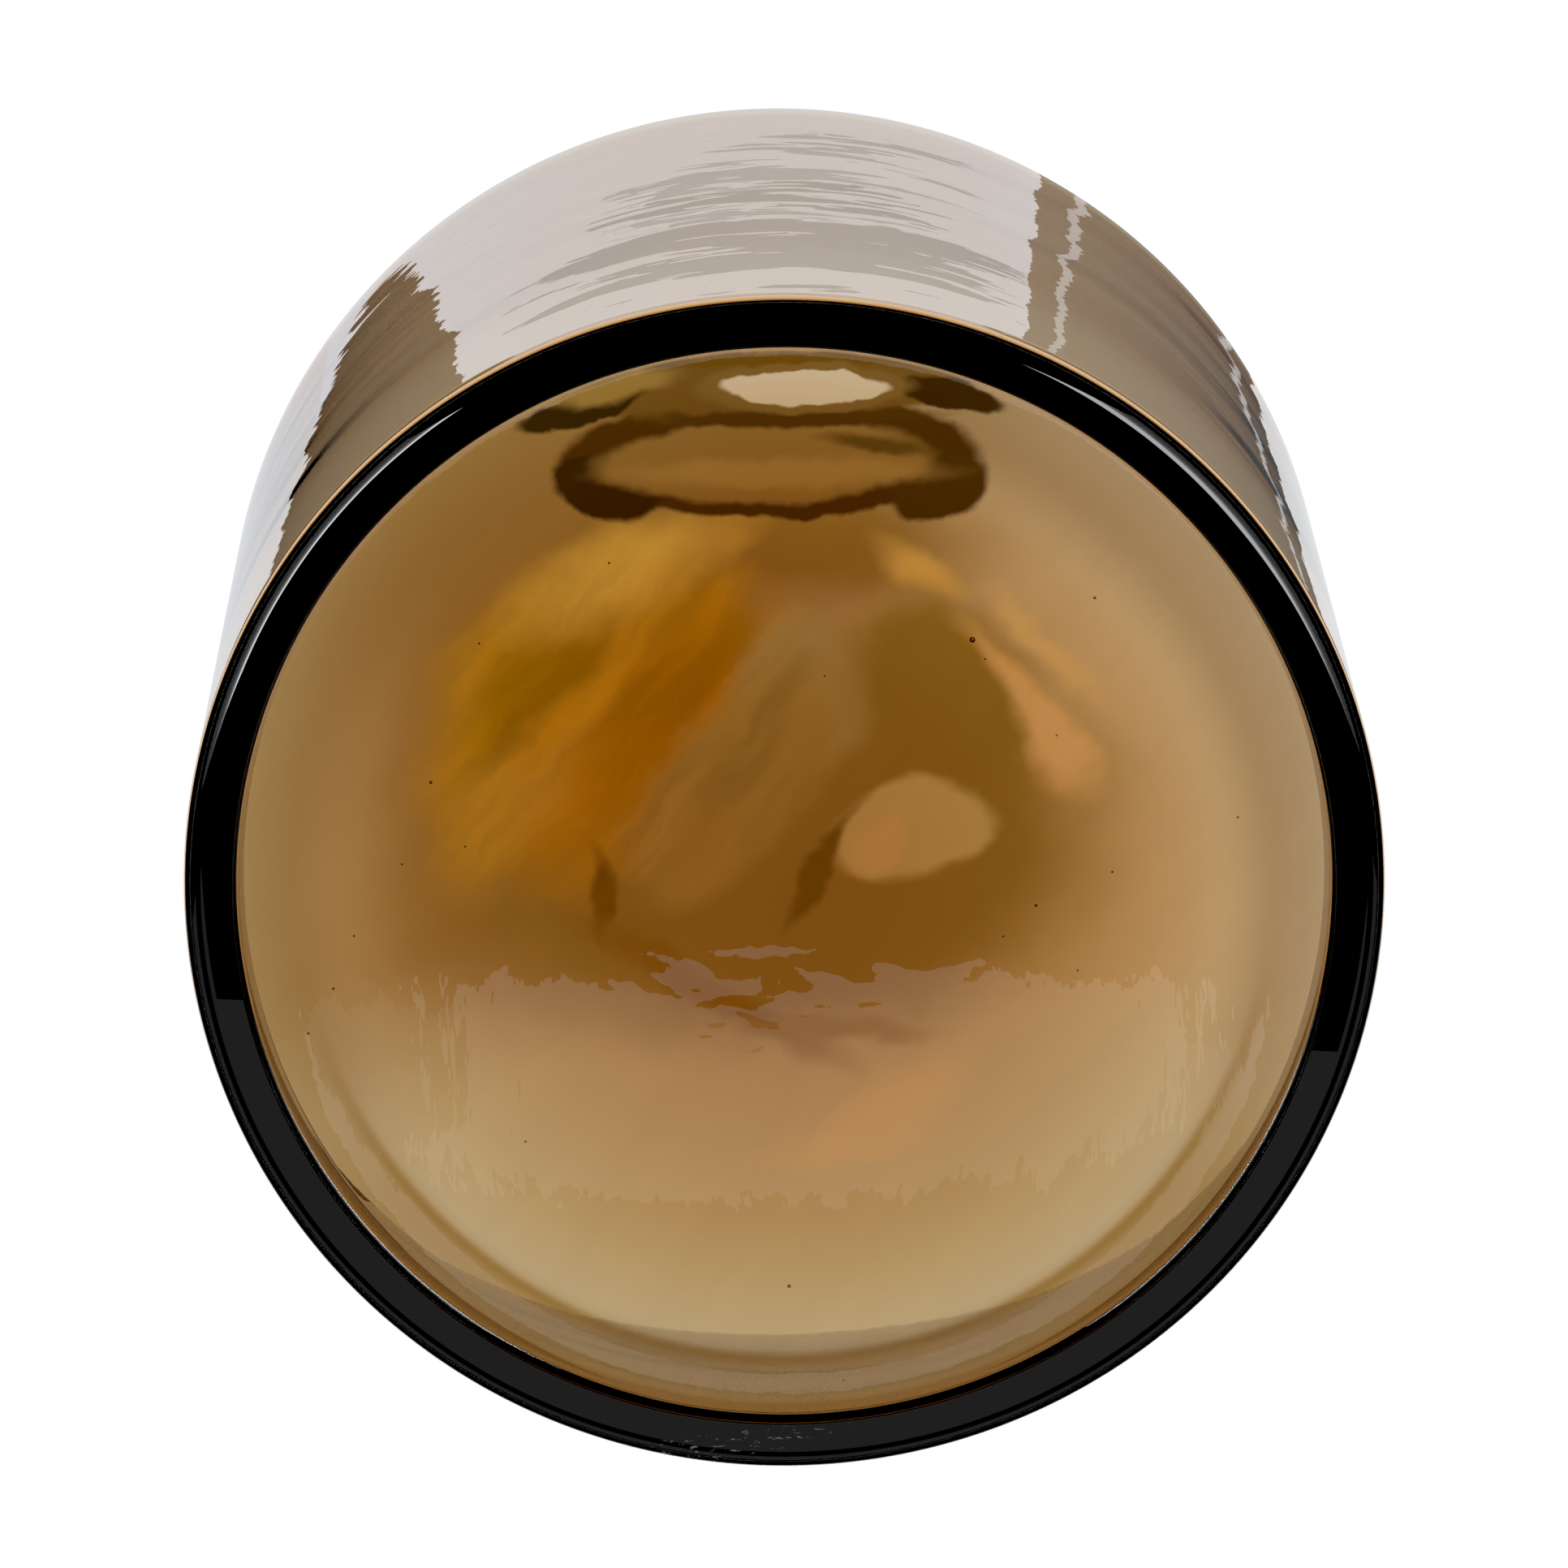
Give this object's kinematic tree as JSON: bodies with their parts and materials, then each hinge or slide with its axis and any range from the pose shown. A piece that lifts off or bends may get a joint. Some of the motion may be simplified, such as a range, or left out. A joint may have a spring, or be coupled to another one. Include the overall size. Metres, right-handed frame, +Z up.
{
  "type": "candle jar",
  "caption": "Empty straight-sided candle jar of smoky brown glass with a heavy pushed-up base, a narrow standing ring and an open rounded mouth.",
  "frame": {"origin": "centre of the standing ring's plane, on the jar's axis", "axes": "+Z up along the jar's axis to the open mouth; X and Y are alike, because the jar is round"},
  "size_m": [0.09, 0.09, 0.09],
  "materials": {
    "smoky_glass": "gloss"
  },
  "bodies": {
    "root": {"glass_jar": "smoky_glass"}
  },
  "joints": []
}
